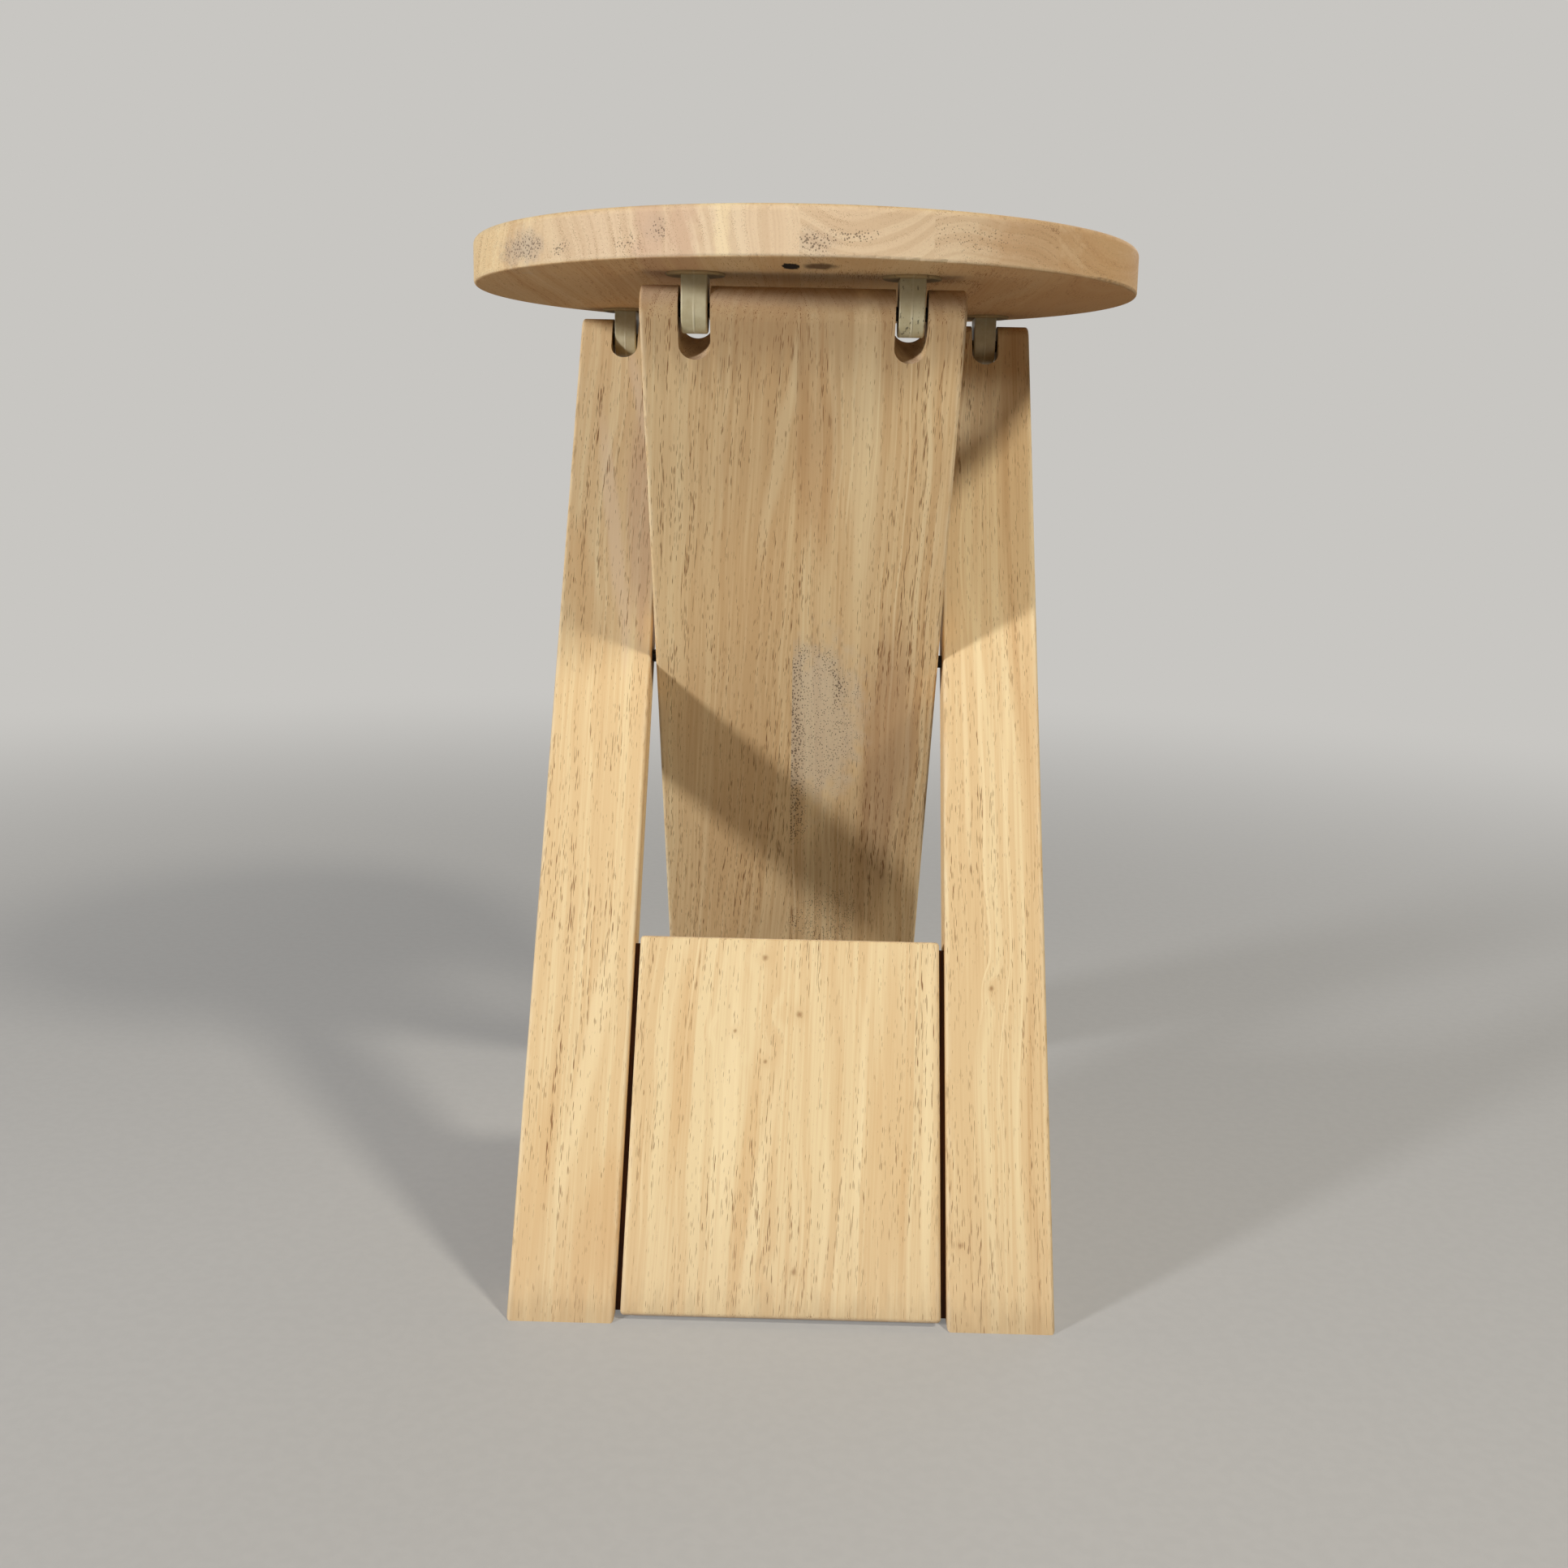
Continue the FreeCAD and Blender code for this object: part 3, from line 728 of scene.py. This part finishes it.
right_stile_shades = (
    ((80.8, -220.0), (1.6, 75.0), -0.02, STREAK_CREAM, 0.60),
    ((88.0, -210.0), (1.5, 70.0), 0.0, STREAK_CREAM, 0.50),
    ((99.8, -240.0), (1.8, 60.0), 0.03, STREAK_CREAM, 0.50),
)
frame_looks = {
    "left_stile": dict(
        seed=(11, 5, 90),
        pith=(20, 70),
        pores=1.0,
        lines=0.4,
        shades=left_stile_shades,
    ),
    "right_stile": dict(
        seed=(83, 31, 260),
        pith=(-30, 60),
        pores=0.85,
        lines=0.65,
        knots=right_stile_knots,
        shades=right_stile_shades,
    ),
    "lower_panel": dict(
        seed=(140, 9, 410),
        pith=(-190, 70),
        tone=0.09,
        pores=0.85,
        lines=0.6,
        lean=0.03,
        knots=panel_knots,
        shades=panel_shades,
    ),
}
for node_name, look in frame_looks.items():
    frame_board = Board([node_name], frame_hinge, frame_turn)
    dress(node_name, wood(f"{node_name}_wood", frame_board, **look))

spline_nodes = ("left_panel_spline", "right_panel_spline")
# Painted shade: one dark brown material for both splines in their gaps
painted_shade_spline = spline_wood(Board(spline_nodes, frame_hinge, frame_turn))
for node_name in spline_nodes:
    dress(node_name, painted_shade_spline)

# Tongue: the right stave carries a speckled stain beside the glue line
glue_line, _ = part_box("tongue_right_stave")
stain_patches = (
    ((9.0, -214.0), (26.0, 57.0)),
    ((1.0, -252.0), (9.0, 54.0)),
    ((19.0, -348.0), (22.0, 28.0)),
)
stain_arc = ((8.0, -196.0), (14.0, 35.0))


def speckled_stain(graph, colour, place):
    return add_stains(graph, colour, place, stain_patches, stain_arc, glue_line[0] / MM)


# Painted shade: the tongue's top is painted browner where the seat shades it
head_painted_shade = ((0.0, 12.0), (130.0, 46.0), 0.0, HEAD_SHADE_BROWN, 0.50)
left_tongue_shades = (head_painted_shade, ((-9.0, -60.0), (4.0, 70.0), 0.155, STREAK_CREAM, 0.40))
right_tongue_shades = (
    head_painted_shade,
    ((8.0, -66.0), (12.0, 66.0), 0.0, BROWN_STREAK_AND_SHADE, 0.40),
    ((29.0, -80.0), (9.0, 120.0), -0.03, STREAK_CREAM, 0.40),
    ((46.0, -228.0), (16.0, 95.0), 0.0, STREAK_PINK_DARK, 0.50),
)
tongue_looks = {
    "tongue_left_stave": dict(
        seed=(29, 63, 530),
        pith=(130, -80),
        tone=-0.08,
        pores=1.05,
        lean=0.06,
        shades=left_tongue_shades,
    ),
    "tongue_right_stave": dict(
        seed=(177, 21, 640),
        pith=(-130, -70),
        tone=-0.08,
        pores=1.05,
        lines=0.5,
        shades=right_tongue_shades,
        extra=speckled_stain,
    ),
}
tongue_board = Board(list(tongue_looks), tongue_hinge, tongue_turn)
for node_name, look in tongue_looks.items():
    dress(node_name, wood(f"{node_name}_wood", tongue_board, **look))

# The lower a bracket's cutoff, the more scuffs it has
scuff_cutoffs = {"front_left": 0.70, "front_right": 0.60, "rear_left": 0.72, "rear_right": 0.72}
for bracket, cutoff in scuff_cutoffs.items():
    bracket_node = f"{bracket}_hinge_bracket"
    low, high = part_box(bracket_node)
    dress(bracket_node, nylon(f"{bracket}_nylon", (low[0] + high[0]) / 2, cutoff))

steel = pin_steel()
for pin in ("front_hinge_pin", "rear_hinge_pin", "guide_pin"):
    for side in ("left", "right"):
        dress(f"{side}_{pin}", steel)


def seen_directly(graph):
    """1 for rays that show the background, straight or through gloss or glass."""
    path = graph.add("ShaderNodeLightPath").outputs
    glossy = graph.math("MAXIMUM", path["Is Camera Ray"], path["Is Glossy Ray"])
    return graph.math("MAXIMUM", glossy, path["Is Transmission Ray"])


def studio_floor():
    """Wide pale floor that fades into the backdrop's colour away from the stool."""
    mesh = bpy.data.meshes.new("studio_floor")
    signs = ((-1, -1), (1, -1), (1, 1), (-1, 1))
    corners = [(x * FLOOR_REACH, y * FLOOR_REACH, 0) for x, y in signs]
    mesh.from_pydata(corners, [], [(0, 1, 2, 3)])
    floor = bpy.data.objects.new("studio_floor", mesh)
    bpy.context.scene.collection.objects.link(floor)
    graph = new_graph("studio_floor")
    place = graph.add("ShaderNodeTexCoord").outputs["Object"]
    specks = graph.noise(graph.stretched(place, FLOOR_SPECK_CYCLES), 2.0)
    colour = graph.mix(graph.ramp(specks, 0.35, 0.65), linear(FLOOR_SPECK), linear(FLOOR_PALE))
    inputs = {
        "Base Color": colour,
        "Roughness": FLOOR_ROUGHNESS,
        "Specular IOR Level": FLOOR_SPECULAR,
    }
    surface = graph.add("ShaderNodeBsdfPrincipled", inputs).outputs[0]
    glow = graph.add("ShaderNodeEmission", {"Color": linear(BACKDROP), "Strength": 1.0}).outputs[0]
    x, y, _ = graph.split(place)
    fade = graph.ramp(graph.length(x, y), *FLOOR_FADE, FLOOR_NEAR_GLOW, 1.0)
    far = graph.math("MULTIPLY", fade, seen_directly(graph))
    blend = graph.add("ShaderNodeMixShader", {0: far, 1: surface, 2: glow}).outputs[0]
    graph.add("ShaderNodeOutputMaterial", {"Surface": blend})
    mesh.materials.append(graph.owner)


def area_light(name, place, size, watts, colour):
    data = bpy.data.lights.new(name, "AREA")
    data.shape = "DISK"
    data.size = size
    data.energy = watts
    data.color = colour
    lamp = bpy.data.objects.new(name, data)
    bpy.context.scene.collection.objects.link(lamp)
    lamp.location = place
    aim = Vector(LIGHT_TARGET) - Vector(place)
    lamp.rotation_euler = aim.to_track_quat("-Z", "Y").to_euler()


def studio_light():
    """Low light from the front left, a warmer one from the front right, a weak one behind."""
    for name, settings in LIGHTS.items():
        area_light(name, *settings)
    world = bpy.data.worlds.new("studio_world")
    bpy.context.scene.world = world
    graph = Graph(world)
    dim = {"Color": AMBIENT_COLOUR, "Strength": AMBIENT_STRENGTH}
    ambient = graph.add("ShaderNodeBackground", dim)
    backdrop = graph.add("ShaderNodeBackground", {"Color": linear(BACKDROP), "Strength": 1.0})
    inputs = {0: seen_directly(graph), 1: ambient.outputs[0], 2: backdrop.outputs[0]}
    blend = graph.add("ShaderNodeMixShader", inputs).outputs[0]
    graph.add("ShaderNodeOutputWorld", {"Surface": blend})


def photo_camera():
    data = bpy.data.cameras.new("photo_camera")
    data.sensor_width = SENSOR_WIDTH
    data.sensor_fit = "HORIZONTAL"
    data.lens = SENSOR_WIDTH * FOCAL_LENGTH / PHOTO_SIZE
    camera = bpy.data.objects.new("photo_camera", data)
    bpy.context.scene.collection.objects.link(camera)
    heading = Matrix.Rotation(math.radians(CAMERA_HEADING), 4, "Z")
    tilt = Matrix.Rotation(math.radians(90.0 - CAMERA_PITCH_DOWN), 4, "X")
    roll = Matrix.Rotation(math.radians(CAMERA_ROLL), 4, "Z")
    camera.matrix_world = Matrix.Translation(CAMERA_PLACE) @ heading @ tilt @ roll
    bpy.context.scene.camera = camera


studio_floor()
studio_light()
photo_camera()
bpy.context.scene.view_settings.view_transform = "Standard"
